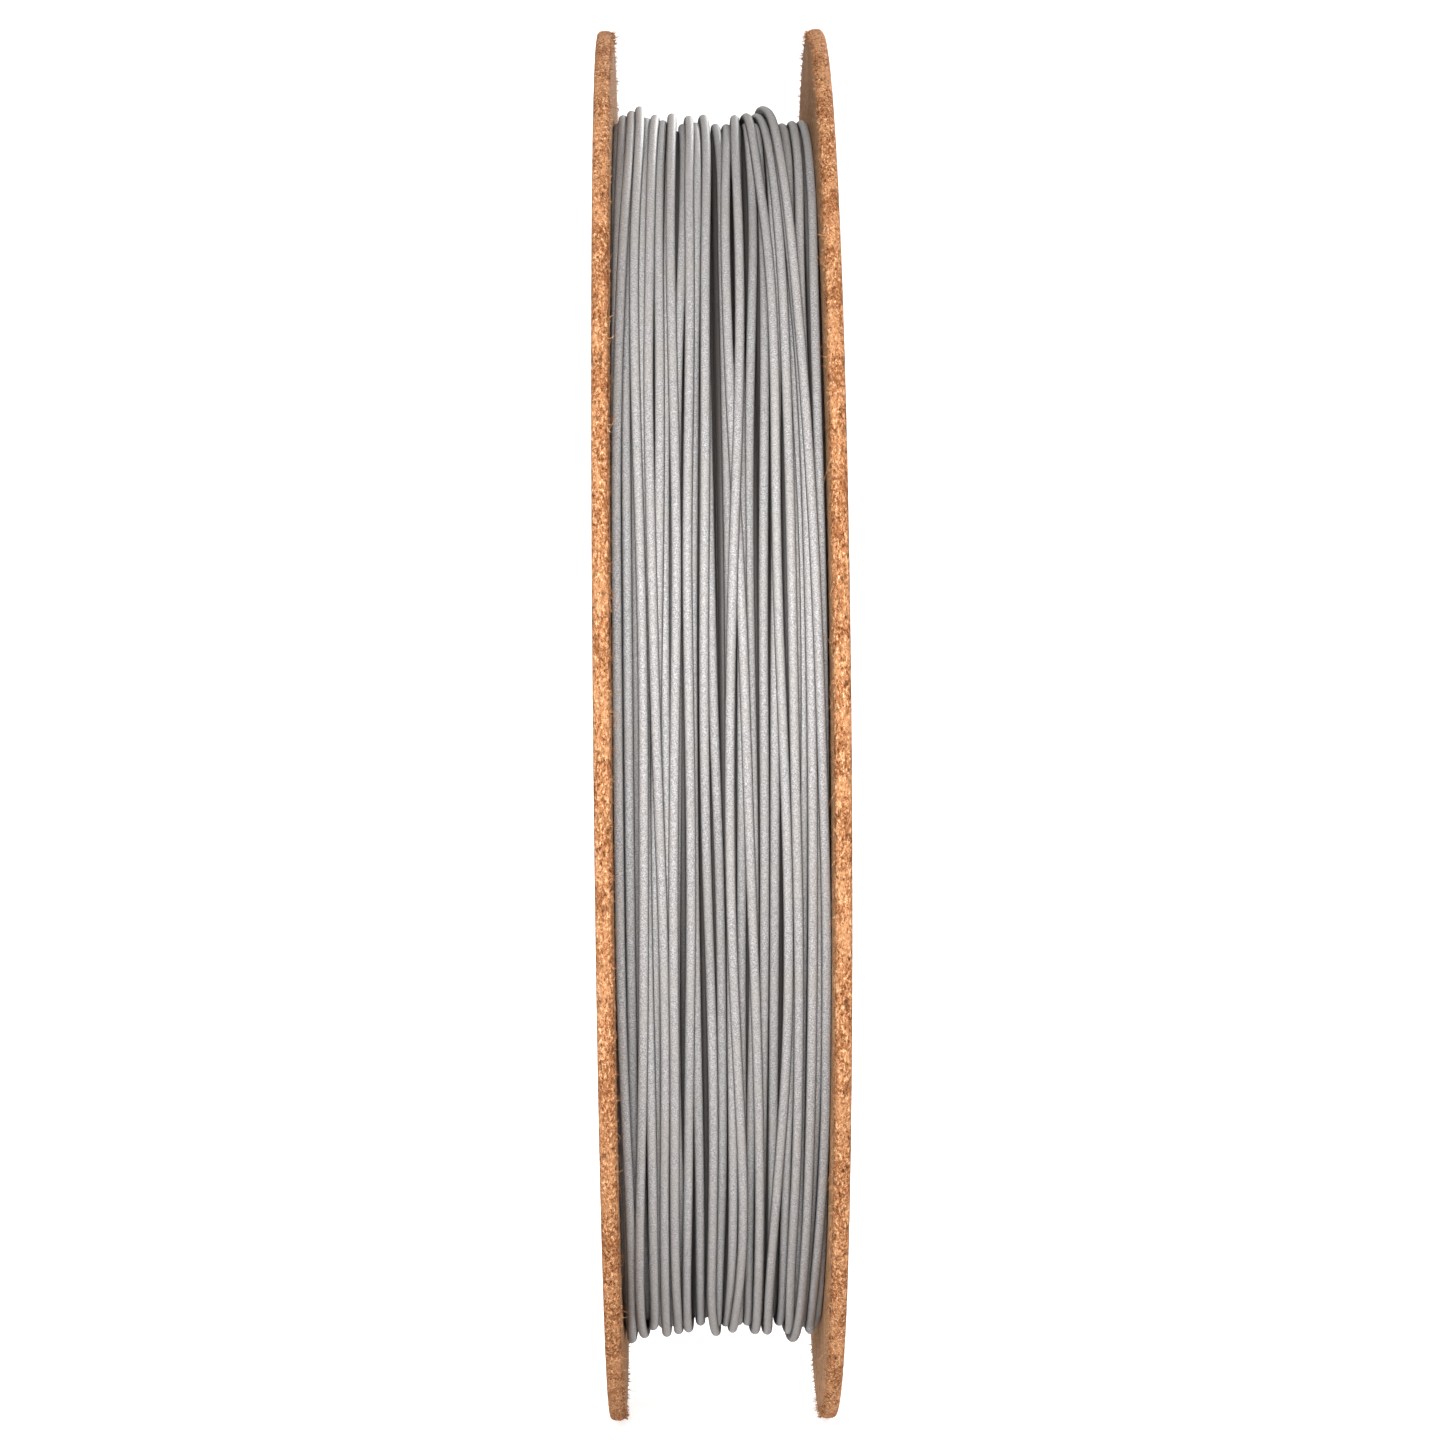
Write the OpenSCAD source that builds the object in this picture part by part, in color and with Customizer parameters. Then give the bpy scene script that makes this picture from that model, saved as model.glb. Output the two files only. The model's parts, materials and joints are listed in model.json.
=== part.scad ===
// Filament spool: two fibreboard flanges glued to a paperboard drum, wound with one long strand.
// The spool's axis lies along X. Angles go round that axis: 0 points along +Y and 90 along +Z.

/* [Flanges] */
// Diameter of both flanges
flange_d = 270; // [262:1:340]
// Thickness of the flange board
flange_t = 3; // [2:0.1:8]
// Clear width between the two flanges
inner_w = 37.4; // [30:0.1:80]
// Radius of the worn edges round each rim
edge_r = 0.5; // [0.1:0.1:0.9]

/* [Drum] */
// Outside diameter of the drum tube that carries the winding
drum_d = 212; // [140:1:218]
// Wall of the drum tube
drum_wall = 4; // [2:0.5:8]
// Thickness of each board disc that centres the drum tube
disc_t = 3; // [2:0.1:10]

/* [Spindle hole] */
// Clear diameter for the holder's spindle
bore_d = 52; // [20:1:80]
// Wall of the hub tube that lines the hole
hub_wall = 3; // [1.5:0.5:6]

/* [Filament] */
// Diameter of the filament
filament_d = 1.75; // [1.5:0.05:2.6]
// Depth of the winding on the drum
winding_depth = 13; // [4:0.5:15]
// Room left between the winding and each flange
side_gap = 0.3; // [0.1:0.1:2]

/* [Holes for the filament's ends] */
// Diameter of the tie holes near the rim and of the starting hole in the drum
tie_hole_d = 4.2; // [3.6:0.1:6]
// Number of tie holes in each flange
tie_holes = 4; // [1:1:8]
// From the rim to the middle of a tie hole
tie_inset = 8; // [5:0.5:9]
// Direction of the tie hole that holds the outer end
tie_angle = -45; // [-180:5:180]

/* [Hidden] */
$fn = 96;

board_colour = "#c68a58";
paper_colour = "#a58e70";
strand_colour = "#a19c98";

glue_gap = 0.1;       // all round, between a tube and the board that it is glued to
touch_gap = 0.03;     // between the filament and what it lies on
cut_over = 1;         // how far a cutter runs past the face that it cuts
edge_steps = 4;       // flats that make up each worn edge

flange_r = flange_d / 2;
drum_r = drum_d / 2;
drum_bore_r = drum_r - drum_wall;
hub_r = bore_d / 2 + hub_wall;
filament_r = filament_d / 2;
inner_face = inner_w / 2;
outer_face = inner_face + flange_t;
winding_r = drum_r + winding_depth;
tie_r = flange_r - tie_inset;
tie_hole_r = tie_hole_d / 2;

// The inner end goes in through the drum wall, clear of the left disc, and stays inside the hollow drum
start_clear = 0.5;
start_x = -inner_face + disc_t + tie_hole_r + start_clear;
start_angle = 200;
start_inside = 12;

// The outer end lies on the winding, leaves it along a tangent and bends into a tie hole of the right
// flange. Each point of the bend is [from that flange's inner face, from the tie hole back along the rim].
tail_bend = [[-4.6, 13.5], [-4.3, 9.5], [-3.6, 6], [-2.5, 3.4], [-1.3, 1.9], [0, 0.9],
             [1, 0.3], [2, -0.3], [2.4, -0.5]];
tail_lay = 25;        // length that lies on the winding
tail_drift = -0.03;   // sideways run towards the flange for each millimetre along the rim
tail_step = 6;        // longest straight piece
tail_sides = 10;
tail_inset = 0.6;     // the middle of the cut end stays this far inside the tie hole
tail_r0 = winding_r + touch_gap + filament_r;
tail_lift_angle = tie_angle - acos(tail_r0 / tie_r);
tail_start = (tie_angle - tail_lift_angle) * PI / 180 * tie_r + tail_lay;
tail_steps = ceil((tail_start - tail_bend[0][1]) / tail_step);
tail_run = [for (k = [tail_steps : -1 : 1])
    let (further = (tail_start - tail_bend[0][1]) * k / tail_steps)
    [tail_bend[0][0] - tail_drift * further, tail_bend[0][1] + further]];

// A place at a radius and an angle round the spool's axis
function around(x, r, angle) = [x, r * cos(angle), r * sin(angle)];

function unit(v) = v / norm(v);

// The radius at which the outer end runs: on the winding, then along the straight line to the tie hole
function tail_radius(angle) =
    angle < tail_lift_angle ? tail_r0 : min(tie_r, tail_r0 / cos(angle - tail_lift_angle));

function tail_point(p) =
    let (angle = tie_angle - p[1] / tie_r * 180 / PI)
    around(inner_face + min(p[0], flange_t - tail_inset), tail_radius(angle), angle);

// The points of one worn edge of a rim, from the angle where it begins, about its own centre
function edge_points(centre, from) =
    [for (k = [0 : edge_steps])
        let (a = from + 90 * k / edge_steps)
        centre + edge_r * [cos(a), sin(a)]];

// A round tube along the points of a path, with the spool's radial direction kept upright
module swept_tube(path, r, sides) {
    last = len(path) - 1;
    rings = [for (i = [0 : last])
        let (along = unit(path[min(i + 1, last)] - path[max(i - 1, 0)]),
             radial = [0, path[i][1], path[i][2]],
             up = unit(radial - along * (radial * along)),
             side = cross(along, up))
        [for (k = [0 : sides - 1])
            let (a = 360 * k / sides)
            path[i] + r * (side * cos(a) + up * sin(a))]];
    walls = [for (i = [0 : last - 1]) for (k = [0 : sides - 1])
        let (a = i * sides + k, b = i * sides + (k + 1) % sides)
        [a, a + sides, b + sides, b]];
    near_end = [for (k = [0 : sides - 1]) k];
    far_end = [for (k = [sides - 1 : -1 : 0]) last * sides + k];
    polyhedron([for (ring = rings) for (p = ring) p], concat([near_end, far_end], walls));
}

// Turns a shape that stands on z = 0 so that it lies along +X from x
module lay_along_x(x) {
    translate([x, 0, 0]) rotate([0, 90, 0]) children();
}

module tube_along_x(x, length, r_out, r_in) {
    lay_along_x(x) difference() {
        cylinder(r = r_out, h = length);
        translate([0, 0, -cut_over]) cylinder(r = r_in, h = length + 2 * cut_over);
    }
}

// One board disc with worn rim edges, the hub tube's hole and the ring of tie holes
module flange(x) {
    cut_h = flange_t + 2 * cut_over;
    color(board_colour) difference() {
        lay_along_x(x) rotate_extrude($fn = 180)
            polygon(concat([[0, 0]],
                           edge_points([flange_r - edge_r, edge_r], -90),
                           edge_points([flange_r - edge_r, flange_t - edge_r], 0),
                           [[0, flange_t]]));
        lay_along_x(x - cut_over) cylinder(r = hub_r + glue_gap, h = cut_h);
        for (k = [0 : tie_holes - 1])
            translate(around(x - cut_over, tie_r, tie_angle + 360 * k / tie_holes))
                lay_along_x(0) cylinder(r = tie_hole_r, h = cut_h);
    }
}

module left_flange() {
    flange(-outer_face);
}

module right_flange() {
    flange(inner_face);
}

// The start hole runs square through one wall of the tube
module drum_tube() {
    color(paper_colour) difference() {
        tube_along_x(-inner_face, inner_w, drum_r, drum_bore_r);
        translate([start_x, 0, 0]) rotate([start_angle - 90, 0, 0])
            translate([0, 0, drum_bore_r - cut_over])
                cylinder(r = tie_hole_r, h = drum_wall + 2 * cut_over);
    }
}

module drum_disc(x) {
    color(board_colour) tube_along_x(x, disc_t, drum_bore_r - glue_gap, hub_r + glue_gap);
}

module left_drum_disc() {
    drum_disc(-inner_face);
}

module right_drum_disc() {
    drum_disc(inner_face - disc_t);
}

// The hub tube runs from one outer face to the other
module hub_tube() {
    color(paper_colour) tube_along_x(-outer_face, 2 * outer_face, hub_r, bore_d / 2);
}

// All the wound turns as one ring
module filament_pack() {
    color(strand_colour)
        tube_along_x(-inner_face + side_gap, inner_w - 2 * side_gap, winding_r, drum_r + touch_gap);
}

module filament_start() {
    color(strand_colour) translate([start_x, 0, 0]) rotate([start_angle - 90, 0, 0])
        translate([0, 0, drum_bore_r - start_inside])
            cylinder(r = filament_r, h = start_inside + drum_wall);
}

module filament_tail() {
    color(strand_colour)
        swept_tube([for (p = concat(tail_run, tail_bend)) tail_point(p)], filament_r, tail_sides);
}

left_flange();
right_flange();
drum_tube();
left_drum_disc();
right_drum_disc();
hub_tube();
filament_pack();
filament_start();
filament_tail();
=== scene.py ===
import json
import math

import bmesh
import bpy
import numpy as np
from mathutils import Matrix, Vector


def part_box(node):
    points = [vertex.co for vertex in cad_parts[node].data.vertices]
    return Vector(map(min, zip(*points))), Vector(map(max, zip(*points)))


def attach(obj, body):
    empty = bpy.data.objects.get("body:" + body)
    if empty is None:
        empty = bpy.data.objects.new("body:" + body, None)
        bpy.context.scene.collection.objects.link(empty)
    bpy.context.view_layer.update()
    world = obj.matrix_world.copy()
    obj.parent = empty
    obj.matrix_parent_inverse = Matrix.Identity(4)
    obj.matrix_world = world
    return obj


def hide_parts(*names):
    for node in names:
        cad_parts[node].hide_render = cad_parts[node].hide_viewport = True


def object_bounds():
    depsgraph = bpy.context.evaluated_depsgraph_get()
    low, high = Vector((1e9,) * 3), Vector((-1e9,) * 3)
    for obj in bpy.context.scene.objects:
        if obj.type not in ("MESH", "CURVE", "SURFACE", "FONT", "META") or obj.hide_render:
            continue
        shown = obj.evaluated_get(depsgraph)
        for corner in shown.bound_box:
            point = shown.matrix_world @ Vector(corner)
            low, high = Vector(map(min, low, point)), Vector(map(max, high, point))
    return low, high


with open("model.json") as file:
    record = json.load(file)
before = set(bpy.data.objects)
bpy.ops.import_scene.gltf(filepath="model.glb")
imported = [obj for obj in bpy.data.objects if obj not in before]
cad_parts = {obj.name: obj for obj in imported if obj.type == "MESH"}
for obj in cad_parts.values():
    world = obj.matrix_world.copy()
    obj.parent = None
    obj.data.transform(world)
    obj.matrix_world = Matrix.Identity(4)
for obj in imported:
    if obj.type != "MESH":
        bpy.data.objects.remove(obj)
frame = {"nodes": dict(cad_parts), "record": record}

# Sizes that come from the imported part, in metres
MM = 0.001
mounts = {m["name"]: m["dims"] for m in frame["record"]["mounts"]}
cad_low, cad_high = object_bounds()
OUTER_FACE = cad_high.x
INNER_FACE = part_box("right_flange")[0].x
RIM_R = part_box("right_flange")[1].z
DRUM_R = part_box("drum_tube")[1].z
HUB_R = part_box("hub_tube")[1].z
BORE_R = mounts["spindle_bore"]["r_mm"] * MM
TIE_R = mounts["left_tie_holes"]["pcd_mm"] / 2 * MM
TIE_HOLE_R = mounts["left_tie_holes"]["hole_r_mm"] * MM
TIE_HOLES = mounts["left_tie_holes"]["count"]
TIE_ANGLE = -45        # degrees, of the first tie hole
GLUE_GAP = 0.1 * MM
STRAND_D = 1.75 * MM
STRAND_R = STRAND_D / 2

# The winding is worked out at the same angles in every turn. Sample 0 is at the back, a quarter of
# the turn is the top, half of it the front and three quarters the bottom.
TURN = 240
STEP = 2 * math.pi / TURN
# The tracks are set from the first to the last of these samples, a step apart
FRONT_FIRST = 70
FRONT_STEP = 10
FRONT_LAST = 170
# The strand comes up through the drum at this sample of its first turn, and leaves the winding for
# the tie hole at this one of its last
FIRST_SAMPLE = 133
LAST_SAMPLE = 172
# Turns in each level under the two outermost; the last two are laid openly and cross each other
LEVELS_BELOW = (20, 20, 20, 20, 20, 10, 10)


def linear(hex_colour):
    """A hex sRGB colour as linear red, green, blue and alpha."""
    channels = [int(hex_colour[i:i + 2], 16) / 255 for i in (1, 3, 5)]
    return [c / 12.92 if c <= 0.04045 else ((c + 0.055) / 1.055) ** 2.4 for c in channels] + [1.0]


# ---------------------------------------------------------------- camera

def add_camera():
    """Level camera a little over 0.9 m in front of the spool, with a long lens."""
    data = bpy.data.cameras.new("camera")
    data.sensor_width = 36
    data.lens = 115.87
    data.clip_start = 0.05
    data.clip_end = 20
    camera = bpy.data.objects.new("camera", data)
    camera.location = (-7.25 * MM, -912.7 * MM, 0.4 * MM)
    level = Matrix.Rotation(math.radians(-0.536), 4, "Z") @ Matrix.Rotation(math.pi / 2, 4, "X")
    camera.rotation_mode = "QUATERNION"
    camera.rotation_quaternion = (level @ Matrix.Rotation(math.radians(-0.54), 4, "Z")).to_quaternion()
    bpy.context.scene.collection.objects.link(camera)
    bpy.context.scene.camera = camera


# ---------------------------------------------------------------- materials

def add(tree, kind, inputs=None, stops=(), **settings):
    """Adds a node with its settings; an input is a value or another node's output to link from.
    stops are a colour ramp's (position, hex colour) pairs."""
    node = tree.nodes.new(kind)
    for name, value in settings.items():
        setattr(node, name, value)
    for name, value in (inputs or {}).items():
        if isinstance(value, bpy.types.NodeSocket):
            tree.links.new(value, node.inputs[name])
        else:
            node.inputs[name].default_value = value
    for i, (position, colour) in enumerate(stops):
        ends = node.color_ramp.elements
        stop = ends[i] if i < 2 else ends.new(position)
        stop.position = position
        stop.color = linear(colour)
    return node


def new_material(name):
    """An empty material and the place of each point in millimetres: (material, tree, place)."""
    material = bpy.data.materials.new(name)
    material.use_nodes = True
    tree = material.node_tree
    tree.nodes.clear()
    metres = add(tree, "ShaderNodeTexCoord").outputs["Object"]
    place = add(tree, "ShaderNodeVectorMath", {0: metres, "Scale": 1 / MM},
                operation="SCALE").outputs[0]
    return material, tree, place


def filament_material():
    """Mineral-filled PLA, extruded: matt grey with a wide faint sheen, and the filler as fine pale
    and dark grains."""
    material, tree, place = new_material("Filled_PLA_extruded")
    # Grains of filler are about 0.03 mm; they are drawn at 0.25 mm, so that they show
    grain = add(tree, "ShaderNodeTexNoise",
                {"Vector": place, "Scale": 1 / 0.25, "Detail": 2.0, "Roughness": 0.75}).outputs["Fac"]
    # Faint warm clouds, 7 mm, where the filler is denser
    cloud = add(tree, "ShaderNodeTexNoise",
                {"Vector": place, "Scale": 1 / 7.0, "Detail": 2.0, "Roughness": 0.5}).outputs["Fac"]
    grey = add(tree, "ShaderNodeValToRGB", {"Fac": grain}, stops=[
        (0.36, "#666464"), (0.64, "#a09e9e"), (0.50, "#817f7f")]).outputs["Color"]
    warmth = add(tree, "ShaderNodeMapRange",
                 {"Value": cloud, "From Min": 0.42, "From Max": 0.66, "To Max": 0.4}).outputs["Result"]
    colour = add(tree, "ShaderNodeMix", {0: warmth, 6: grey, 7: linear("#84807a")},
                 data_type="RGBA").outputs[2]
    # Painted shade: the gaps between turns and the deeper turns are darkened towards near-black brown
    crevice_shade = add(tree, "ShaderNodeAttribute", attribute_name="crevice_shade").outputs["Fac"]
    gap_shade = add(tree, "ShaderNodeMapRange",
               {"Value": crevice_shade, "From Min": 0.03, "From Max": 0.85, "To Max": 0.92}).outputs["Result"]
    shaded_colour = add(tree, "ShaderNodeMix", {0: gap_shade, 6: colour, 7: linear("#1c1512")},
                data_type="RGBA").outputs[2]
    dullness = add(tree, "ShaderNodeMapRange", {
        "Value": grain, "From Min": 0.3, "From Max": 0.7, "To Min": 0.66, "To Max": 0.54}).outputs["Result"]
    bump = add(tree, "ShaderNodeBump", {"Strength": 0.5, "Distance": 0.02 * MM, "Height": grain})
    shader = add(tree, "ShaderNodeBsdfPrincipled", {
        "Base Color": shaded_colour, "Roughness": dullness, "IOR": 1.46, "Specular IOR Level": 0.5,
        "Normal": bump.outputs["Normal"]})
    add(tree, "ShaderNodeOutputMaterial", {"Surface": shader.outputs[0]})
    return material


def board_edge_material():
    """Hardboard, sawn edge: pressed wood fibres cut across, orange brown, mottled, with painted shade in
    the pits.
    """
    material, tree, place = new_material("Hardboard_sawn_edge")
    # The fibres lie in the plane of the board, so every pattern is narrower across it
    lying = add(tree, "ShaderNodeVectorMath", {0: place, 1: (1.9, 1, 1)}, operation="MULTIPLY").outputs[0]
    # Bundles of fibres, 0.8 mm long with finer ones in them
    fibre = add(tree, "ShaderNodeTexNoise",
                {"Vector": lying, "Scale": 1 / 0.8, "Detail": 5.0, "Roughness": 0.8}).outputs["Fac"]
    # Paler and darker stretches of the edge, 6 mm
    stretch = add(tree, "ShaderNodeTexNoise",
                  {"Vector": lying, "Scale": 1 / 6.0, "Detail": 4.0, "Roughness": 0.65}).outputs["Fac"]
    # Torn-out spots, 0.45 mm
    torn = add(tree, "ShaderNodeTexNoise",
               {"Vector": lying, "Scale": 1 / 0.45, "Detail": 2.0, "Roughness": 0.6}).outputs["Fac"]
    wood = add(tree, "ShaderNodeValToRGB", {"Fac": fibre}, stops=[
        (0.36, "#3c200f"), (0.63, "#dcb88f"), (0.43, "#74452a"), (0.50, "#95633f"),
        (0.56, "#b0805a")]).outputs["Color"]
    paleness = add(tree, "ShaderNodeMapRange",
                   {"Value": stretch, "From Min": 0.47, "From Max": 0.62, "To Max": 0.5}).outputs["Result"]
    toned = add(tree, "ShaderNodeMix", {0: paleness, 6: wood, 7: linear("#b5855e")},
                data_type="RGBA").outputs[2]
    darkness = add(tree, "ShaderNodeMapRange",
                   {"Value": stretch, "From Min": 0.47, "From Max": 0.36, "To Max": 0.5}).outputs["Result"]
    browned = add(tree, "ShaderNodeMix", {0: darkness, 6: toned, 7: linear("#734526")},
                  data_type="RGBA").outputs[2]
    hole = add(tree, "ShaderNodeMapRange",
               {"Value": torn, "From Min": 0.43, "From Max": 0.36, "To Max": 0.75}).outputs["Result"]
    spotted = add(tree, "ShaderNodeMix", {0: hole, 6: browned, 7: linear("#3a1f10")},
                  data_type="RGBA").outputs[2]
    # Painted shade: the rim is darkened where pits cut into it
    pit = add(tree, "ShaderNodeAttribute", attribute_name="pit").outputs["Fac"]
    shade = add(tree, "ShaderNodeMapRange",
                {"Value": pit, "From Min": 0.1, "From Max": 1.0, "To Max": 0.6}).outputs["Result"]
    colour = add(tree, "ShaderNodeMix", {0: shade, 6: spotted, 7: linear("#2b180c")},
                 data_type="RGBA").outputs[2]
    bump = add(tree, "ShaderNodeBump", {"Strength": 1.0, "Distance": 0.25 * MM, "Height": fibre})
    shader = add(tree, "ShaderNodeBsdfPrincipled", {
        "Base Color": colour, "Roughness": 0.95, "IOR": 1.5, "Specular IOR Level": 0.08,
        "Normal": bump.outputs["Normal"]})
    add(tree, "ShaderNodeOutputMaterial", {"Surface": shader.outputs[0]})
    return material


def board_face_material():
    """Hardboard, pressed face: matted tan fibres, strands of pale fibre and dark slivers of bark."""
    material, tree, place = new_material("Hardboard_pressed_face")
    # Matted fibres, 1.1 mm with finer ones in them
    mat = add(tree, "ShaderNodeTexNoise",
              {"Vector": place, "Scale": 1 / 1.1, "Detail": 6.0, "Roughness": 0.8}).outputs["Fac"]
    # Uneven pressing, 18 mm
    pressed = add(tree, "ShaderNodeTexNoise",
                  {"Vector": place, "Scale": 1 / 18.0, "Detail": 5.0, "Roughness": 0.65}).outputs["Fac"]
    # Curled fibres on the surface, lines 0.3 mm wide in loops of about 6 mm
    curls = add(tree, "ShaderNodeTexNoise",
                {"Vector": place, "Scale": 1 / 6.0, "Detail": 2.0, "Distortion": 2.2}).outputs["Fac"]
    # Slivers of bark, about 0.6 mm wide and 2 mm long, one in each cell of 2 by 6 mm
    leaning = add(tree, "ShaderNodeVectorMath", {0: place, 1: (1, 1.6, 0.5)},
                  operation="MULTIPLY").outputs[0]
    bark = add(tree, "ShaderNodeTexVoronoi", {"Vector": leaning, "Scale": 1 / 3.0}).outputs["Distance"]
    tan = add(tree, "ShaderNodeValToRGB", {"Fac": mat}, stops=[
        (0.36, "#6a4429"), (0.66, "#d4ae88"), (0.44, "#8f643f"), (0.52, "#aa7e58")]).outputs["Color"]
    browner = add(tree, "ShaderNodeMapRange",
                  {"Value": pressed, "From Min": 0.50, "From Max": 0.62, "To Max": 0.34}).outputs["Result"]
    toned = add(tree, "ShaderNodeMix", {0: browner, 6: tan, 7: linear("#85562f")},
                data_type="RGBA").outputs[2]
    paler = add(tree, "ShaderNodeMapRange",
                {"Value": pressed, "From Min": 0.48, "From Max": 0.38, "To Max": 0.3}).outputs["Result"]
    paled = add(tree, "ShaderNodeMix", {0: paler, 6: toned, 7: linear("#c29c77")},
                data_type="RGBA").outputs[2]
    distance = add(tree, "ShaderNodeMath", {0: curls, 1: 0.5}, operation="SUBTRACT").outputs[0]
    near = add(tree, "ShaderNodeMath", {0: distance}, operation="ABSOLUTE").outputs[0]
    line = add(tree, "ShaderNodeMapRange",
               {"Value": near, "From Min": 0.02, "From Max": 0.004, "To Max": 0.6}).outputs["Result"]
    curled = add(tree, "ShaderNodeMix", {0: line, 6: paled, 7: linear("#dcbc98")},
                 data_type="RGBA").outputs[2]
    sliver = add(tree, "ShaderNodeMapRange",
                 {"Value": bark, "From Min": 0.16, "From Max": 0.09, "To Max": 0.8}).outputs["Result"]
    colour = add(tree, "ShaderNodeMix", {0: sliver, 6: curled, 7: linear("#4a2c18")},
                 data_type="RGBA").outputs[2]
    dullness = add(tree, "ShaderNodeMapRange", {
        "Value": mat, "From Min": 0.3, "From Max": 0.7, "To Min": 0.95, "To Max": 0.8}).outputs["Result"]
    bump = add(tree, "ShaderNodeBump", {"Strength": 1.0, "Distance": 0.2 * MM, "Height": mat})
    shader = add(tree, "ShaderNodeBsdfPrincipled", {
        "Base Color": colour, "Roughness": dullness, "IOR": 1.5, "Specular IOR Level": 0.12,
        "Normal": bump.outputs["Normal"]})
    add(tree, "ShaderNodeOutputMaterial", {"Surface": shader.outputs[0]})
    return material


def paper_material():
    """Kraft paperboard, wound in a spiral and glued: brown paper with long fibres and dark flecks."""
    material, tree, place = new_material("Kraft_paper_spiral_wound")
    along = add(tree, "ShaderNodeVectorMath", {0: place, 1: (0.5, 1.6, 1.6)},
                operation="MULTIPLY").outputs[0]
    # Paper fibres, 0.8 mm
    fibre = add(tree, "ShaderNodeTexNoise",
                {"Vector": along, "Scale": 1 / 0.8, "Detail": 4.0, "Roughness": 0.72}).outputs["Fac"]
    # Flecks in the pulp, 1.6 mm
    fleck = add(tree, "ShaderNodeTexNoise",
                {"Vector": place, "Scale": 1 / 1.6, "Detail": 2.0}).outputs["Fac"]
    kraft = add(tree, "ShaderNodeValToRGB", {"Fac": fibre}, stops=[
        (0.32, "#66503a"), (0.70, "#a58c70"), (0.50, "#876e52")]).outputs["Color"]
    dark = add(tree, "ShaderNodeMapRange",
               {"Value": fleck, "From Min": 0.36, "From Max": 0.28, "To Max": 0.6}).outputs["Result"]
    flecked = add(tree, "ShaderNodeMix", {0: dark, 6: kraft, 7: linear("#46321f")},
                  data_type="RGBA").outputs[2]
    seam = add(tree, "ShaderNodeAttribute", attribute_name="seam").outputs["Fac"]
    joint = add(tree, "ShaderNodeMapRange",
                {"Value": seam, "From Min": 0.2, "From Max": 1.0, "To Max": 0.75}).outputs["Result"]
    colour = add(tree, "ShaderNodeMix", {0: joint, 6: flecked, 7: linear("#3d2b1c")},
                 data_type="RGBA").outputs[2]
    bump = add(tree, "ShaderNodeBump", {"Strength": 0.4, "Distance": 0.05 * MM, "Height": fibre})
    shader = add(tree, "ShaderNodeBsdfPrincipled", {
        "Base Color": colour, "Roughness": 0.8, "IOR": 1.5, "Specular IOR Level": 0.3,
        "Normal": bump.outputs["Normal"]})
    add(tree, "ShaderNodeOutputMaterial", {"Surface": shader.outputs[0]})
    return material


def studio_material():
    """Painted board, matt pale grey: a seamless floor and backdrop that glows behind the object, a painted
    glow that is weakest where the front softbox lights the floor.
    """
    material, tree, place = new_material("Painted_board_matt_pale")
    # Roller marks in the paint, 40 mm
    roller = add(tree, "ShaderNodeTexNoise",
                 {"Vector": place, "Scale": 1 / 40.0, "Detail": 2.0}).outputs["Fac"]
    pale = add(tree, "ShaderNodeValToRGB", {"Fac": roller}, stops=[
        (0.3, "#cacaca"), (0.7, "#d0d0d0")]).outputs["Color"]
    # Painted light: the board glows, but less where the front softbox lights it, 450 mm in front
    ahead = add(tree, "ShaderNodeVectorMath", {0: place, 1: (0, 450, 0)}, operation="ADD").outputs[0]
    spot = add(tree, "ShaderNodeVectorMath", {0: ahead, 1: (1 / 900, 1 / 650, 0)},
               operation="MULTIPLY").outputs[0]
    lit = add(tree, "ShaderNodeTexGradient", {"Vector": spot},
              gradient_type="QUADRATIC_SPHERE").outputs["Fac"]
    painted_glow = add(tree, "ShaderNodeMapRange",
               {"Value": lit, "From Max": 0.6, "To Min": 0.86, "To Max": 0.12}).outputs["Result"]
    shader = add(tree, "ShaderNodeBsdfPrincipled", {
        "Base Color": pale, "Roughness": 0.9, "Specular IOR Level": 0.1,
        "Emission Color": (1, 1, 1, 1), "Emission Strength": painted_glow})
    add(tree, "ShaderNodeOutputMaterial", {"Surface": shader.outputs[0]})
    return material


# ---------------------------------------------------------------- meshes

def new_piece(name, points, faces, material, node):
    """A smooth mesh piece from points in metres, riding on the spool. It may stand for a CAD node."""
    mesh = bpy.data.meshes.new(name)
    mesh.from_pydata(np.asarray(points).tolist(), [], faces)
    mesh.shade_smooth()
    mesh.materials.append(material)
    return placed(mesh, name, node)


def placed(mesh, name, node):
    """Puts a finished mesh in the scene as a piece of the spool."""
    piece = bpy.data.objects.new(name, mesh)
    bpy.context.scene.collection.objects.link(piece)
    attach(piece, "root")
    if node:
        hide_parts(node)
    return piece


def polar(x, r, angle):
    """Points at a radius and an angle round the axis: 0 is the back and pi / 2 the top."""
    return np.stack(np.broadcast_arrays(x, r * np.cos(angle), r * np.sin(angle)), axis=-1)


def grid_faces(rows, columns, closed=False):
    """Quads of a grid of points, one row after another; closed joins the last column to the first."""
    index = np.arange(rows * columns).reshape(rows, columns)
    right = np.roll(index, -1, axis=1) if closed else index[:, 1:]
    left = index if closed else index[:, :-1]
    quads = np.stack([left[:-1], right[:-1], right[1:], left[1:]], axis=-1)
    return quads.reshape(-1, 4).tolist()


def smooth_field(shape, sigma, seed):
    """Random values with blotches of sigma samples along each axis, joined end to end, spread about 1."""
    random = np.random.default_rng(seed).standard_normal(shape)
    spectrum = np.fft.fft2(random)
    for axis, s in enumerate(sigma):
        f = np.fft.fftfreq(shape[axis])
        fall = np.exp(-2 * (math.pi * f * s) ** 2)
        spectrum *= fall[:, None] if axis == 0 else fall[None, :]
    field = np.real(np.fft.ifft2(spectrum))
    return field / field.std()
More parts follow.
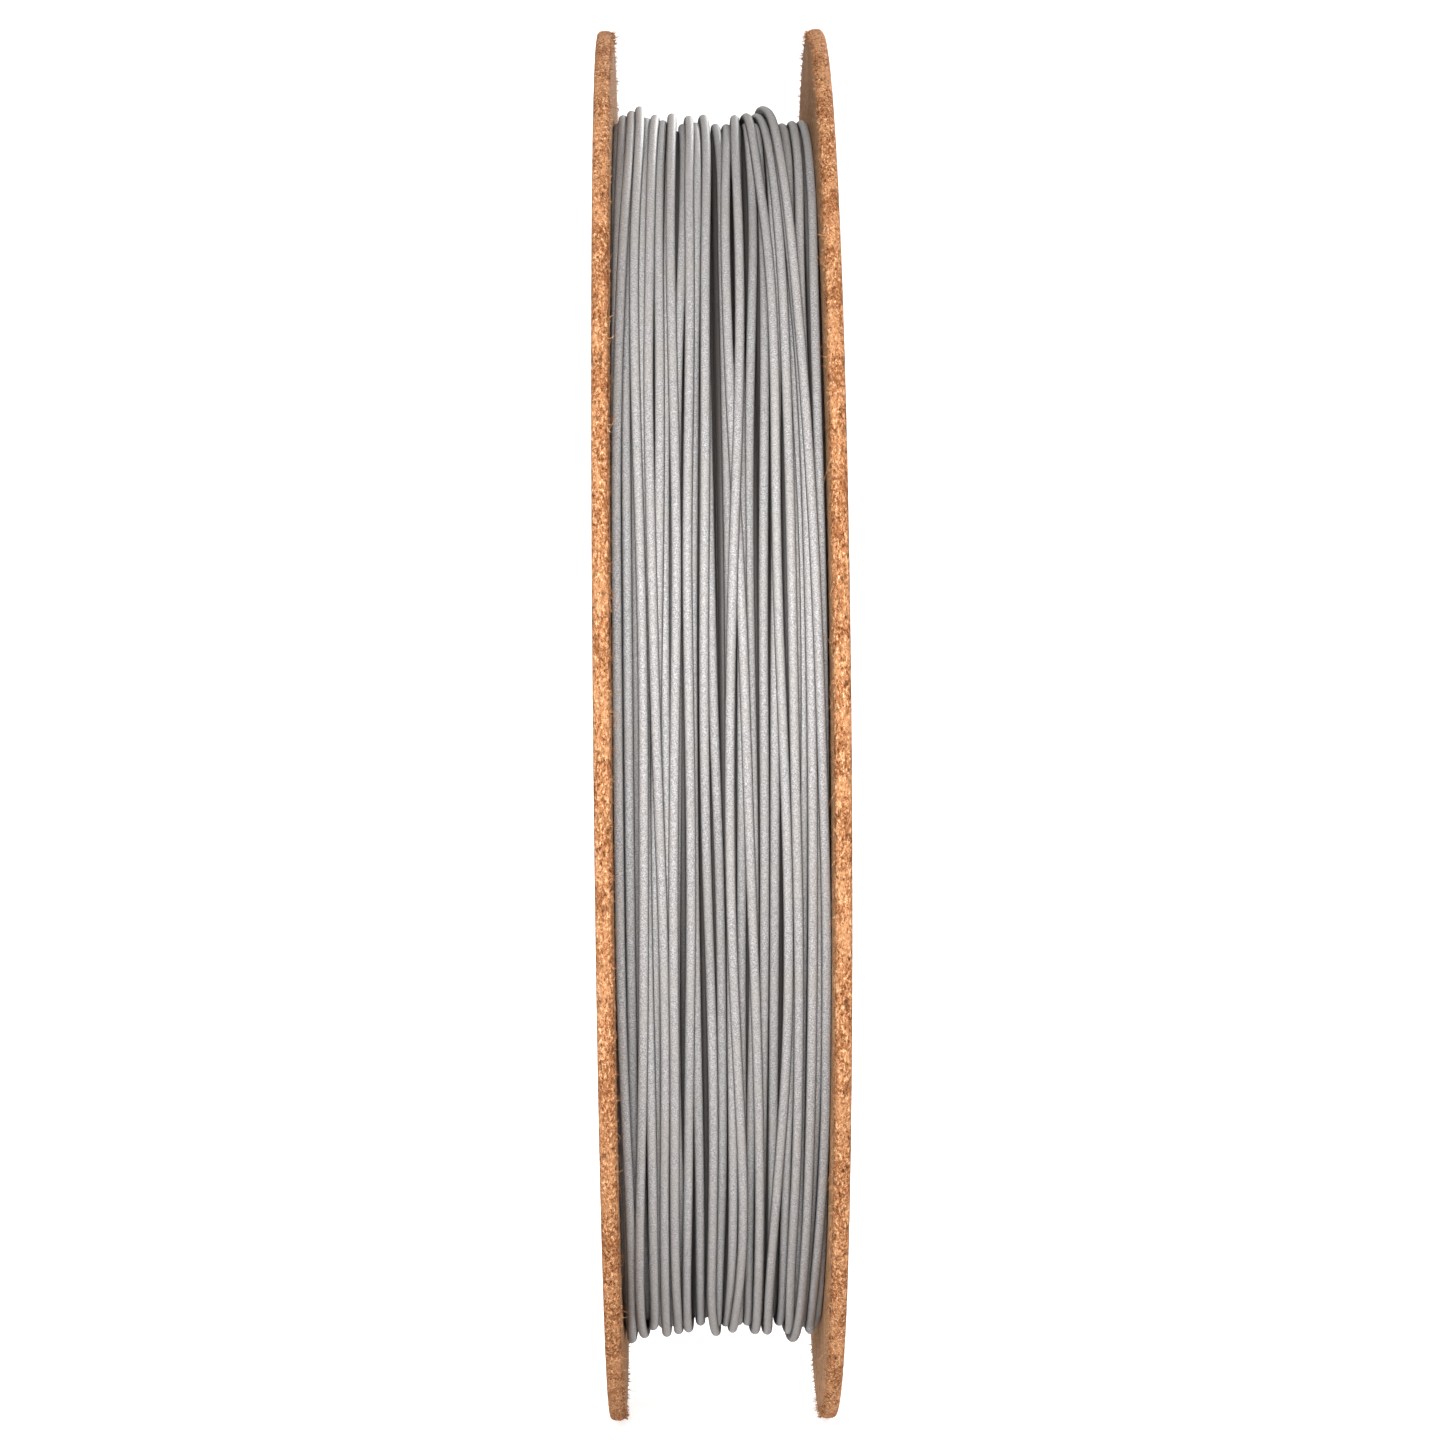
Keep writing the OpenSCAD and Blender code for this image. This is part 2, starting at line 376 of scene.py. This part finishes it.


# ---------------------------------------------------------------- winding

# Where the turns of the two outermost levels lie, in mm along X at each tenth sample from 75 degrees
# above the front to 75 below it; None is where a turn is covered. The covered level is
# laid from right to left and the open top level from left to right.
HID = None
COVERED_LEVEL = [
    (17.2, 17.3, 17.0, 17.0, HID, HID, HID, HID, HID, 17.8, 17.8),
    (15.1, 15.9, 15.0, HID, HID, HID, HID, HID, HID, HID, HID),
    (13.9, 14.1, 13.8, HID, HID, HID, 14.6, 14.5, HID, HID, HID),
    (12.4, 13.0, HID, 12.5, 12.9, 13.3, HID, 12.1, 11.6, 11.3, 11.1),
    (HID, HID, HID, HID, 9.5, 9.2, 9.0, 8.3, 7.9, 7.7, 7.6),
    (8.6, 9.0, 8.9, 8.3, 8.0, 7.6, 7.1, 6.7, HID, HID, HID),
    (HID, 6.6, 7.0, 6.8, 6.3, 5.8, 5.7, HID, 5.2, 5.3, 5.0),
    (5.5, 5.6, 5.3, 4.8, 4.5, 4.6, HID, HID, HID, HID, 3.7),
    (0.5, 0.7, 0.6, 0.8, 1.1, HID, HID, 1.4, 1.4, 0.9, 0.4),
    (HID, HID, HID, -1.0, -0.7, -0.8, 0.1, -0.1, -0.1, -0.2, -0.3),
    (-2.8, -2.3, HID, HID, -4.5, -4.7, -4.6, -4.4, -4.0, -4.0, -4.0),
    (-5.9, -6.0, -5.8, -6.7, HID, -7.5, -7.6, -7.9, -7.8, -7.8, -7.8),
    (HID, -8.4, -9.1, -9.3, -9.1, -9.0, HID, HID, HID, HID, HID),
    (-9.0, -9.5, -10.1, -10.9, -10.6, -10.1, HID, HID, HID, HID, HID),
    (-12.4, -12.7, -13.2, HID, HID, -12.9, -12.5, -12.6, -12.8, -13.2, -13.6),
    (HID, HID, -15.7, -15.9, -16.6, -16.6, -15.9, -15.6, HID, HID, HID),
    (-17.1, -17.3, -17.8, HID, HID, HID, HID, HID, HID, HID, -17.8),
]
TOP_LEVEL = [
    (-15.4, -15.9, -16.4, -17.2, -17.8, -17.8, -17.8, -17.1, -16.8, -17.5, -17.8),
    (-14.0, -14.2, -14.6, -14.3, -13.9, -13.8, -14.0, -14.4, -15.6, -15.9, -15.4),
    (-10.8, -11.0, -11.5, -12.4, -12.4, -12.0, -11.0, -10.8, -11.0, -10.9, -11.0),
    (-7.4, -7.5, -7.8, -7.8, -7.6, -8.2, -9.0, -9.1, -9.3, -9.2, -8.8),
    (-4.3, -4.4, -3.9, -4.7, -6.0, -6.0, -5.9, -6.1, -6.0, -6.4, -7.0),
    (-1.3, -1.0, -2.0, -2.8, -2.8, -2.7, -2.4, -1.8, -1.7, -1.4, -1.2),
    (2.9, 2.5, 2.0, 2.3, 3.1, 3.8, 4.7, 5.6, 6.2, 6.4, 6.5),
    (4.5, 4.2, 4.4, 3.9, 2.6, 1.8, 1.8, 2.6, 3.0, 2.3, 1.8),
    (6.7, 8.0, 9.3, 9.7, 9.9, 10.7, 11.3, 11.2, 9.6, 9.0, 8.9),
    (9.5, 10.5, 11.2, 11.3, 11.4, 12.1, 12.8, 13.1, 13.3, 13.3, 13.2),
    (11.2, 11.6, 12.5, 13.8, 14.4, 15.2, 15.7, 15.7, 15.1, 14.2, 13.6),
    (10.9, 12.1, 13.9, 15.4, 16.4, 16.9, 17.2, 17.4, 17.5, 16.8, 16.3),
]
# Near the top three turns swing over from the left in a short loop: (row of the top level, sample,
# mm along X)
LOOPS_OVER = [(9, 61, 8.0), (10, 60, 9.7), (11, 63, 9.0)]
TURNS_BELOW = sum(LEVELS_BELOW)
TURNS = TURNS_BELOW + len(COVERED_LEVEL) + len(TOP_LEVEL)
SIDE_LIMIT = INNER_FACE - STRAND_R - 0.02 * MM
FADE = 25                  # samples over which the made-up wander begins behind the set tracks
WANDER = 0.4 * MM
STRAIGHT_START = 30        # samples that the strand keeps to the side after the drum's hole
TURNS_UNDER = 46           # laid turns that the next one may touch, more than two levels
# How far a turn may slide from its track, under the set levels and in them
SLIDE_BELOW = 0.9 * MM
SLIDE_SEEN = 0.3 * MM
# What a slide costs, against a strand's width of height: being off the track, a kink, and a jump
# from where the last turn ended
OFF_COST = 0.08
KINK_COST = 40.0
JUMP_COST = 30.0


def blurred(values, sigma):
    """Values along the strand, evened out over sigma samples."""
    reach = int(4 * sigma) + 1
    weight = np.exp(-0.5 * (np.arange(-reach, reach + 1) / sigma) ** 2)
    return np.convolve(np.pad(values, reach, mode="edge"), weight / weight.sum(), mode="valid")


def wander(count, sigma, seed):
    """A smooth random wander along the strand, spread about 1."""
    values = blurred(np.random.default_rng(seed).standard_normal(count), sigma)
    return values / values.std()


def level_below(turns, direction):
    """One regular level. Its turns lie parallel round the front and step over near the back."""
    share = 0.3            # of the turn, in which it steps over
    t = np.arange(turns * TURN) / TURN
    nearest = np.round(t)
    stepped = nearest + np.clip((t - nearest) / share, -0.5, 0.5)
    pitch = 2 * SIDE_LIMIT / (turns - 0.5)
    return direction * (np.clip(stepped - 0.5, 0, turns - 0.5) * pitch - SIDE_LIMIT)


def covered_places():
    """The covered level's places in metres, turns by columns: hidden ones filled in, then eased apart."""
    places = np.array([[np.nan if v is None else v for v in row] for row in COVERED_LEVEL]) * MM
    seen = ~np.isnan(places)
    columns = np.arange(places.shape[1])
    for row, known in zip(places, seen):
        row[:] = np.interp(columns, columns[known], row[known])
    give = np.where(seen, 0.15, 1.0)
    apart = STRAND_D * 1.01
    for _ in range(80):
        short = np.clip(apart - (places[:-1] - places[1:]), 0, None) * 0.5
        both = give[:-1] + give[1:]
        places[:-1] += short * give[:-1] / both
        places[1:] -= short * give[1:] / both
        places = np.clip(places, -SIDE_LIMIT, SIDE_LIMIT)
    return places


def wanted_tracks():
    """Where each sample of the strand would like to lie along X, turn after turn, in metres."""
    below = TURNS_BELOW * TURN
    levels = [level_below(turns, 1 if i % 2 == 0 else -1) for i, turns in enumerate(LEVELS_BELOW)]
    total = TURNS * TURN
    x = np.concatenate(levels + [np.zeros(total - below)])
    rows = np.vstack([covered_places(), np.array(TOP_LEVEL) * MM])
    first = below + FRONT_FIRST + TURN * np.arange(len(rows))[:, None]
    knots = (first + FRONT_STEP * np.arange(rows.shape[1])).ravel()
    places = rows.ravel()
    for row, sample, place in LOOPS_OVER:
        knots = np.append(knots, below + TURN * (len(COVERED_LEVEL) + row) + sample)
        places = np.append(places, place * MM)
    late = np.arange(below - TURN // 4, total)
    order = np.argsort(knots)
    x[late] = np.interp(late, np.append(late[0], knots[order]), np.append(x[late[0]], places[order]))
    in_turn = np.arange(total) % TURN
    behind = np.minimum((in_turn - FRONT_LAST) % TURN, (FRONT_FIRST - in_turn) % TURN)
    hidden = np.clip(behind / FADE, 0, 1)
    hidden[:below] = 0
    x += wander(total, 9, 6) * hidden * WANDER
    x[:FIRST_SAMPLE + STRAIGHT_START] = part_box("filament_start")[0].x + STRAND_R
    return np.clip(blurred(x, 3.5), -SIDE_LIMIT, SIDE_LIMIT)


def resting_radius(xs, rs, turn, samples, x):
    """The lowest radius at which a strand at x rests on the drum and the turns already laid."""
    first = max(0, turn - TURNS_UNDER)
    radius = np.full(x.shape, DRUM_R + STRAND_R)
    if turn > first:
        near = np.abs(x[None] - xs[first:turn, samples][:, :, None])
        rise = np.sqrt(np.clip(STRAND_D ** 2 - near ** 2, 0, None))
        height = np.where(near < STRAND_D, rs[first:turn, samples][:, :, None] + rise, 0)
        radius = np.maximum(radius, height.max(axis=0))
    return radius


def slid_into_grooves(height, slack, start):
    """The cheapest sideways slide at each sample: low, near the wanted place, and without kinks."""
    length, choices = height.shape
    offset = np.linspace(-1, 1, choices)
    cost = height / STRAND_D + OFF_COST * offset[None] ** 2
    turn_cost = KINK_COST * (offset[:, None] - offset[None]) ** 2 * (slack[:, None, None] / MM)
    total = np.zeros((length, choices))
    back = np.zeros((length, choices), int)
    total[0] = cost[0] + JUMP_COST * (offset - start) ** 2
    for i in range(1, length):
        step = total[i - 1][:, None] + turn_cost[i]
        back[i] = step.argmin(axis=0)
        total[i] = step.min(axis=0) + cost[i]
    pick = np.zeros(length, int)
    pick[-1] = total[-1].argmin()
    for i in range(length - 1, 0, -1):
        pick[i - 1] = back[i][pick[i]]
    return offset[pick]


def pulled_taut(radius, held):
    """Under tension the strand runs straight from one support to the next and bends over each."""
    u = 1 / radius
    fixed = u[:held].copy()
    for _ in range(4):
        for m in (18, 12, 8, 5, 3, 2, 1):
            # 1 / radius of the straight line between the points m samples before and after
            chord = (u[:-2 * m] + u[2 * m:]) / (2 * math.cos(m * STEP))
            u[m:-m] = np.minimum(u[m:-m], chord)
            u[:held] = fixed
    smooth = blurred(1 / u, 2.2)
    short = np.maximum(radius - smooth, 0)
    wide = np.max([np.roll(short, k) for k in (-2, -1, 0, 1, 2)], axis=0)
    return smooth + blurred(wide, 1.5)


def wind():
    """Lays the whole strand, turn by turn: its place along X and its radius at every sample."""
    wanted = wanted_tracks()
    before = 30            # samples of the turn before and of the next that each turn is laid with
    ahead = 40
    choices = np.linspace(-1, 1, 21)
    xs = np.zeros((TURNS + 1, TURN))
    rs = np.zeros((TURNS + 1, TURN))
    last_offset = 0.0
    for turn in range(TURNS):
        length = TURN + (ahead if turn < TURNS - 1 else 0)
        index = np.arange(turn * TURN, turn * TURN + length)
        samples = index % TURN
        x = wanted[index]
        slack = np.full(length, SLIDE_BELOW if turn < TURNS_BELOW else SLIDE_SEEN)
        tried = np.clip(x[:, None] + choices[None] * slack[:, None], -SIDE_LIMIT, SIDE_LIMIT)
        height = resting_radius(xs, rs, turn, samples, tried)
        offset = slid_into_grooves(height, slack, last_offset)
        earlier = xs[turn - 1, -before:] if turn else np.full(before, x[0])
        joined = blurred(np.concatenate([earlier, x + offset * slack]), 3.0)
        x = np.clip(joined[before:], -SIDE_LIMIT, SIDE_LIMIT)
        radius = resting_radius(xs, rs, turn, samples, x[:, None])[:, 0]
        xs[turn] = x[:TURN]
        rs[turn] = radius[:TURN]
        if length > TURN:
            over = resting_radius(xs, rs, turn + 1, samples[TURN:], x[TURN:, None])[:, 0]
            radius[TURN:] = np.maximum(radius[TURN:], over)
        earlier = rs[turn - 1, -before:] if turn else np.full(before, radius[0])
        taut = pulled_taut(np.concatenate([earlier, radius]), before)
        rs[turn] = taut[before:before + TURN]
        last_offset = offset[TURN - 1]
    return xs[:TURNS].ravel(), rs[:TURNS].ravel()


LIT_R = 116.4 * MM         # turns nearer the drum than this lie in the gaps and get painted shade
LIT_DEPTH = 2.1 * MM       # and this much nearer they are fully in painted shade


def closed_tube(rings, sides):
    """Faces of a tube of so many rings, one after another, with both ends closed."""
    faces = [f[::-1] for f in grid_faces(rings, sides, closed=True)]
    last = (rings - 1) * sides
    return faces + [list(range(sides)), list(range(last + sides - 1, last - 1, -1))]


def strand(name, x, radius, angle, sides, material):
    """Wound turns as one round strand through places given by x, radius and angle."""
    a = np.linspace(0, 2 * math.pi, sides, endpoint=False)
    sideways = x[:, None] + STRAND_R * np.cos(a)
    outward = radius[:, None] + STRAND_R * np.sin(a)
    points = polar(sideways, outward, angle[:, None]).reshape(-1, 3)
    piece = new_piece(name, points, closed_tube(len(x), sides), material, "filament_pack")
    # Painted shade: marks the strand's sides, where turns touch, and the turns below the outer surface, for
    # darkening
    deep = np.clip((LIT_R - radius) / LIT_DEPTH, 0, 1)
    crevice_shade = np.clip(np.cos(a) ** 8 + deep[:, None], 0, 1)
    attribute = piece.data.attributes.new("crevice_shade", "FLOAT", "POINT")
    attribute.data.foreach_set("value", crevice_shade.ravel().astype(np.float32))


# The outer end's route, as in the part: [from the right flange's inner face, from the tie hole back
# along the rim], in mm
TAIL_BEND = [[-4.6, 13.5], [-4.3, 9.5], [-3.6, 6], [-2.5, 3.4], [-1.3, 1.9], [0, 0.9],
             [1, 0.3], [2, -0.3], [2.4, -0.5]]
TAIL_LAY = 25
TAIL_DRIFT = -0.03
TAIL_INSET = 0.6
TAIL_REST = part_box("filament_pack")[1].z + 0.03 * MM + STRAND_R
TAIL_RING_STEP = 0.8 * MM


def tail_places():
    """The outer end: along the winding, straight on to the tie hole and into it."""
    lift = TIE_ANGLE - math.degrees(math.acos(TAIL_REST / TIE_R))
    start = math.radians(TIE_ANGLE - lift) * TIE_R / MM + TAIL_LAY
    bend_x, bend_back = TAIL_BEND[0]
    further = np.linspace(start - bend_back, 0, 12)[:-1]
    run = np.stack([bend_x - TAIL_DRIFT * further, bend_back + further], axis=-1)
    places = np.concatenate([run, TAIL_BEND])
    angle = TIE_ANGLE - np.degrees(places[:, 1] * MM / TIE_R)
    deepest = (OUTER_FACE - INNER_FACE) / MM - TAIL_INSET
    x = INNER_FACE + np.minimum(places[:, 0], deepest) * MM
    straight = TAIL_REST / np.cos(np.radians(np.maximum(angle - lift, 0)))
    return x, np.minimum(TIE_R, straight), np.radians(angle)


def resampled(points, step):
    """A smooth line through points, with new points a step apart."""
    points = np.asarray(points)
    padded = np.vstack([2 * points[0] - points[1], points, 2 * points[-1] - points[-2]])
    fine = []
    for p0, p1, p2, p3 in zip(padded, padded[1:], padded[2:], padded[3:]):
        t = np.linspace(0, 1, 24, endpoint=False)[:, None]
        fine.append(0.5 * (2 * p1 + (p2 - p0) * t + (2 * p0 - 5 * p1 + 4 * p2 - p3) * t ** 2
                           + (3 * p1 - p0 - 3 * p2 + p3) * t ** 3))
    fine = np.vstack(fine + [points[-1:]])
    length = np.concatenate([[0], np.cumsum(np.linalg.norm(np.diff(fine, axis=0), axis=1))])
    at = np.linspace(0, length[-1], max(2, int(length[-1] / step) + 1))
    return np.stack([np.interp(at, length, fine[:, k]) for k in range(3)], axis=-1)


def tube_rings(line, radius, sides):
    """Rings of points round a line, each square to it; radius may change along the line."""
    along = np.gradient(line, axis=0)
    along /= np.linalg.norm(along, axis=1)[:, None]
    outward = line * [0, 1, 1]
    outward = outward - along * np.sum(outward * along, axis=1)[:, None]
    outward /= np.linalg.norm(outward, axis=1)[:, None]
    side = np.cross(along, outward)
    a = np.linspace(0, 2 * math.pi, sides, endpoint=False)[None, :, None]
    r = np.broadcast_to(radius, len(line))[:, None, None]
    rings = line[:, None] + r * (side[:, None] * np.cos(a) + outward[:, None] * np.sin(a))
    return rings.reshape(-1, 3)


def add_filament(material):
    """The wound strand, a few levels to a piece, and its outer end in the tie hole."""
    x, radius = wind()
    angle = np.arange(len(x)) * STEP
    ends = np.cumsum((0,) + LEVELS_BELOW) * TURN
    top = (TURNS_BELOW + len(COVERED_LEVEL)) * TURN
    last = len(x) - TURN + LAST_SAMPLE
    # Name, first and last sample, every how many samples a ring, and the sides of a ring
    pieces = [("turns_inner_lower", FIRST_SAMPLE, ends[3], 2, 8),
              ("turns_inner_upper", ends[3], ends[5], 2, 8),
              ("turns_crossing", ends[5], ends[7], 1, 12),
              ("turns_covered", ends[7], top, 1, 20),
              ("turns_top", top, last, 1, 20)]
    for name, first, end, every, sides in pieces:
        at = np.append(np.arange(first, end, every), end)
        strand(name, x[at], radius[at], angle[at], sides, material)
    at = np.arange(last - 6, last + 1, 3)
    tail_x, tail_radius, tail_angle = tail_places()
    route = np.vstack([polar(x[at], radius[at], angle[at]),
                       polar(tail_x[1:], tail_radius[1:], tail_angle[1:])])
    line = resampled(route, TAIL_RING_STEP)
    sides = 12
    new_piece("tucked_end", tube_rings(line, STRAND_R, sides), closed_tube(len(line), sides),
              material, "filament_tail")


# ---------------------------------------------------------------- flanges

AROUND = 3200              # points round a rim, 0.27 mm apart
RIM_WORN = 1.05 * MM       # how far the rim's edges are rounded off
FIELD_STEP = 0.075 * MM    # between a rim's random values, across the board
# How deep the sawn rim is cut into: everywhere, by fibres, by waves, by pits and by crumbled edges
SAWN = 0.13 * MM
SAWN_FIBRE = 0.05 * MM
SAWN_WAVE = 0.035 * MM
SAWN_PIT = 0.2 * MM
SAWN_CRUMBLE = 0.16 * MM
FIBRES = 3600
FIBRE_LONG_SHARE = 0.07    # of the loose fibres are longer, this many times
FIBRE_LONG = 2.2


def flange_rim(side, seed):
    """The sawn rim with its worn edges, as rows of points across the board, and how pitted each is."""
    thickness = OUTER_FACE - INNER_FACE
    arc = np.radians([0, 25, 50, 70, 90])
    worn_in = RIM_WORN * (1 - np.cos(arc))
    worn_down = RIM_WORN * (1 - np.sin(arc))
    flat = np.linspace(RIM_WORN, thickness - RIM_WORN, 9)[1:-1]
    across = np.concatenate([[0], worn_in, flat, thickness - worn_in[::-1], [thickness]])
    down = np.concatenate([[2 * RIM_WORN], worn_down, np.zeros(len(flat)), worn_down[::-1],
                           [2 * RIM_WORN]])
    row = np.clip(across / FIELD_STEP, 0, 39).astype(int)
    shape = (64, AROUND)
    fibre = smooth_field(shape, (2.2, 1.2), seed)[row]
    clump = smooth_field(shape, (1.9, 1.3), seed + 1)[row]
    crumble = smooth_field(shape, (6.0, 2.5), seed + 2)[row]
    wave = smooth_field(shape, (20, 40), seed + 3)[row]
    free = np.clip(2 - down / RIM_WORN, 0, 1)[:, None]
    corner = np.clip(down / RIM_WORN, 0, 1)[:, None]
    pit = np.clip((clump - 1.1) / 1.1, 0, 1) * free
    depth = SAWN + SAWN_FIBRE * fibre + SAWN_WAVE * wave + SAWN_PIT * pit
    depth += corner * np.clip(crumble + 0.4, -0.5, 2.2) * SAWN_CRUMBLE
    radius = RIM_R - 0.02 * MM - down[:, None] - np.clip(depth, 0, None) * free
    angle = np.linspace(0, 2 * math.pi, AROUND, endpoint=False)
    return polar(side * (INNER_FACE + across)[:, None], radius, angle[None]), pit


def hole_walls(work, side, y, z, radius, count, broken):
    """Cuts one hole's wall through the board, its edges broken by a small slope; its two end rings."""
    a = np.linspace(0, 2 * math.pi, count, endpoint=False)
    rings = []
    for x, r in ((INNER_FACE, radius + broken), (INNER_FACE + broken, radius),
                 (OUTER_FACE - broken, radius), (OUTER_FACE, radius + broken)):
        points = np.stack([np.full(count, side * x), y + r * np.cos(a), z + r * np.sin(a)], axis=-1)
        rings.append([work.verts.new(p) for p in points.tolist()])
    for low, high in zip(rings, rings[1:]):
        for i in range(count):
            j = (i + 1) % count
            work.faces.new((low[i], low[j], high[j], high[i]))
    return rings[0], rings[-1]


def add_flange(name, side, seed, edge_material, face_material):
    """One board disc: sawn rim, two pressed faces, the hub tube's hole and the tie holes."""
    rim, pit = flange_rim(side, seed)
    work = bmesh.new()
    layer = work.verts.layers.float.new("pit")
    verts = [work.verts.new(p) for p in rim.reshape(-1, 3).tolist()]
    for vert, value in zip(verts, pit.ravel()):
        vert[layer] = value
    for corners in grid_faces(len(rim), AROUND, closed=True):
        work.faces.new([verts[i] for i in corners])
    faces = [[verts[:AROUND]], [verts[-AROUND:]]]
    holes = [(0.0, 0.0, HUB_R + GLUE_GAP, 192, 0.02 * MM)]
    for k in range(TIE_HOLES):
        a = math.radians(TIE_ANGLE + 360 / TIE_HOLES * k)
        holes.append((TIE_R * math.cos(a), TIE_R * math.sin(a), TIE_HOLE_R, 40, 0.3 * MM))
    for hole in holes:
        for loops, ring in zip(faces, hole_walls(work, side, *hole)):
            loops.append(ring)
    for face in work.faces:
        face.smooth = True
    for loops in faces:
        edges = []
        for loop in loops:
            for one, other in zip(loop, loop[1:] + loop[:1]):
                edges.append(work.edges.get((one, other)))
        for made in bmesh.ops.triangle_fill(work, edges=edges, use_beauty=True)["geom"]:
            if isinstance(made, bmesh.types.BMFace):
                made.material_index = 1
    bmesh.ops.recalc_face_normals(work, faces=work.faces)
    mesh = bpy.data.meshes.new(name + "_board")
    work.to_mesh(mesh)
    work.free()
    mesh.materials.append(edge_material)
    mesh.materials.append(face_material)
    placed(mesh, name + "_board", name)


def add_fibres(material):
    """Loose fibres that stand up from the inner edges of both rims."""
    random = np.random.default_rng(31)
    t = np.linspace(0, 1, 6)
    sides = 4
    points = []
    faces = []
    for i in range(FIBRES):
        side = 1 if i % 2 else -1
        angle = random.uniform(0, 2 * math.pi)
        length = random.uniform(0.4, 1.2) * MM
        length *= FIBRE_LONG if random.random() < FIBRE_LONG_SHARE else 1
        lean, curl, rise = random.uniform(-1, 1, 3)
        root = RIM_R - random.uniform(0.35, 1.4) * MM
        x = side * (INNER_FACE + 0.2 * MM - t * length * random.uniform(0.45, 0.9))
        radius = np.minimum(root + (t * rise * 0.5 + t ** 2 * 0.2) * length, RIM_R - 0.15 * MM)
        line = polar(x, radius, angle + (lean * t + curl * t ** 2) * length / RIM_R)
        thick = random.uniform(0.06, 0.11) * MM * (1 - 0.8 * t)
        faces += [[len(points) + v for v in face] for face in closed_tube(len(t), sides)]
        points += tube_rings(line, thick, sides).tolist()
    new_piece("loose_fibres", points, faces, material, None)


# ---------------------------------------------------------------- hub tube and drum

def add_hub(material):
    """The hub tube, wound from a strip of paper: the strip's edge shows as a fine spiral groove."""
    around = 240
    along = 90
    plies_shown = 8
    strip = 46 * MM        # width of the paper strip along the tube
    groove_width = 0.45 * MM
    groove_depth = 0.14 * MM
    x = np.linspace(-OUTER_FACE, OUTER_FACE, along)[:, None]
    angle = np.linspace(0, 2 * math.pi, around, endpoint=False)[None]
    across_strip = ((x / strip + angle / (2 * math.pi)) % 1.0) * strip
    groove = np.exp(-((across_strip - strip / 2) / groove_width) ** 2)
    # Plies of paper show at both ends as rings, each a little lower or higher than the last
    plies = np.linspace(BORE_R, HUB_R, plies_shown + 2)[1:-1][:, None]
    low_ply = np.arange(plies_shown) % 2 == 0
    step = np.where(low_ply, 0.10 * MM, 0.02 * MM)[:, None]
    rows = np.concatenate([
        polar(x, BORE_R + groove_depth * groove, angle),
        polar(OUTER_FACE - step, plies, angle),
        polar(x[::-1], np.full((along, 1), HUB_R), angle),
        polar(step - OUTER_FACE, plies[::-1], angle)])
    faces = [face[::-1] for face in grid_faces(len(rows), around, closed=True)]
    last = (len(rows) - 1) * around
    faces += [[last + i, i, (i + 1) % around, last + (i + 1) % around] for i in range(around)]
    seam = np.zeros(rows.shape[:2])
    seam[:along] = groove
    ply_seam = np.where(low_ply, 0.5, 0.0)[:, None]
    seam[along:along + plies_shown] = ply_seam
    seam[2 * along + plies_shown:] = ply_seam
    piece = new_piece("hub_tube_wound", rows.reshape(-1, 3), faces, material, "hub_tube")
    attribute = piece.data.attributes.new("seam", "FLOAT", "POINT")
    attribute.data.foreach_set("value", seam.ravel().astype(np.float32))
    piece.data.set_sharp_from_angle(angle=math.radians(50))


def finish_hidden_parts(board, paper, filament):
    """Gives the drum tube, its discs and the inner end their materials; they stay as packed."""
    for name, material in (("drum_tube", paper), ("left_drum_disc", board), ("right_drum_disc", board),
                           ("filament_start", filament)):
        for place in frame["nodes"][name].material_slots:
            place.material = material


# ---------------------------------------------------------------- studio

def add_studio():
    """A seamless pale floor and backdrop, a soft light on each side and pale air round them."""
    front = -3.0
    bend_start = 1.2
    bend_r = 1.0
    top = 1.6
    half_width = 4.0
    profile = [(front, 0), (bend_start, 0)]
    for a in np.radians(np.arange(6, 91, 6)):
        profile.append((bend_start + bend_r * math.sin(a), bend_r * (1 - math.cos(a))))
    profile.append((bend_start + bend_r, top))
    points = [(x, y, cad_low.z + z) for y, z in profile for x in (-half_width, half_width)]
    faces = grid_faces(len(profile), 2)
    mesh = bpy.data.meshes.new("studio_floor")
    mesh.from_pydata(points, [], faces)
    mesh.materials.append(studio_material())
    mesh.shade_smooth()
    floor = bpy.data.objects.new("studio_floor", mesh)
    bpy.context.scene.collection.objects.link(floor)

    def area(name, place, size, energy, spread):
        light = bpy.data.lights.new(name, "AREA")
        light.shape = "DISK"
        light.size = size
        light.spread = math.radians(spread)
        light.energy = energy
        lamp = bpy.data.objects.new(name, light)
        lamp.location = place
        lamp.rotation_mode = "QUATERNION"
        lamp.rotation_quaternion = (-Vector(place)).to_track_quat("-Z", "Y")
        bpy.context.scene.collection.objects.link(lamp)

    area("front_softbox", (-0.12, -2.0, 0.6), 0.9, 6.9, 40)
    area("rear_softbox", (0.9, 1.5, 1.1), 1.0, 22, 120)
    world = bpy.data.worlds.new("studio_air")
    world.use_nodes = True
    # The air is bright at the horizon and dim overhead
    tree = world.node_tree
    tree.nodes.clear()
    direction = add(tree, "ShaderNodeTexCoord").outputs["Generated"]
    height = add(tree, "ShaderNodeSeparateXYZ", {"Vector": direction}).outputs["Z"]
    strength = add(tree, "ShaderNodeMapRange", {
        "Value": height, "From Min": 0.12, "From Max": 0.5,
        "To Min": 0.95, "To Max": 0.05}).outputs["Result"]
    sky = add(tree, "ShaderNodeBackground", {"Color": (1, 1, 1, 1), "Strength": strength})
    add(tree, "ShaderNodeOutputWorld", {"Surface": sky.outputs[0]})
    bpy.context.scene.world = world
    bpy.context.scene.view_settings.view_transform = "Standard"


add_camera()
filament = filament_material()
board_edge = board_edge_material()
board_face = board_face_material()
paper = paper_material()
add_filament(filament)
add_flange("left_flange", -1, 11, board_edge, board_face)
add_flange("right_flange", 1, 21, board_edge, board_face)
add_fibres(board_edge)
add_hub(paper)
finish_hidden_parts(board_face, paper, filament)
add_studio()
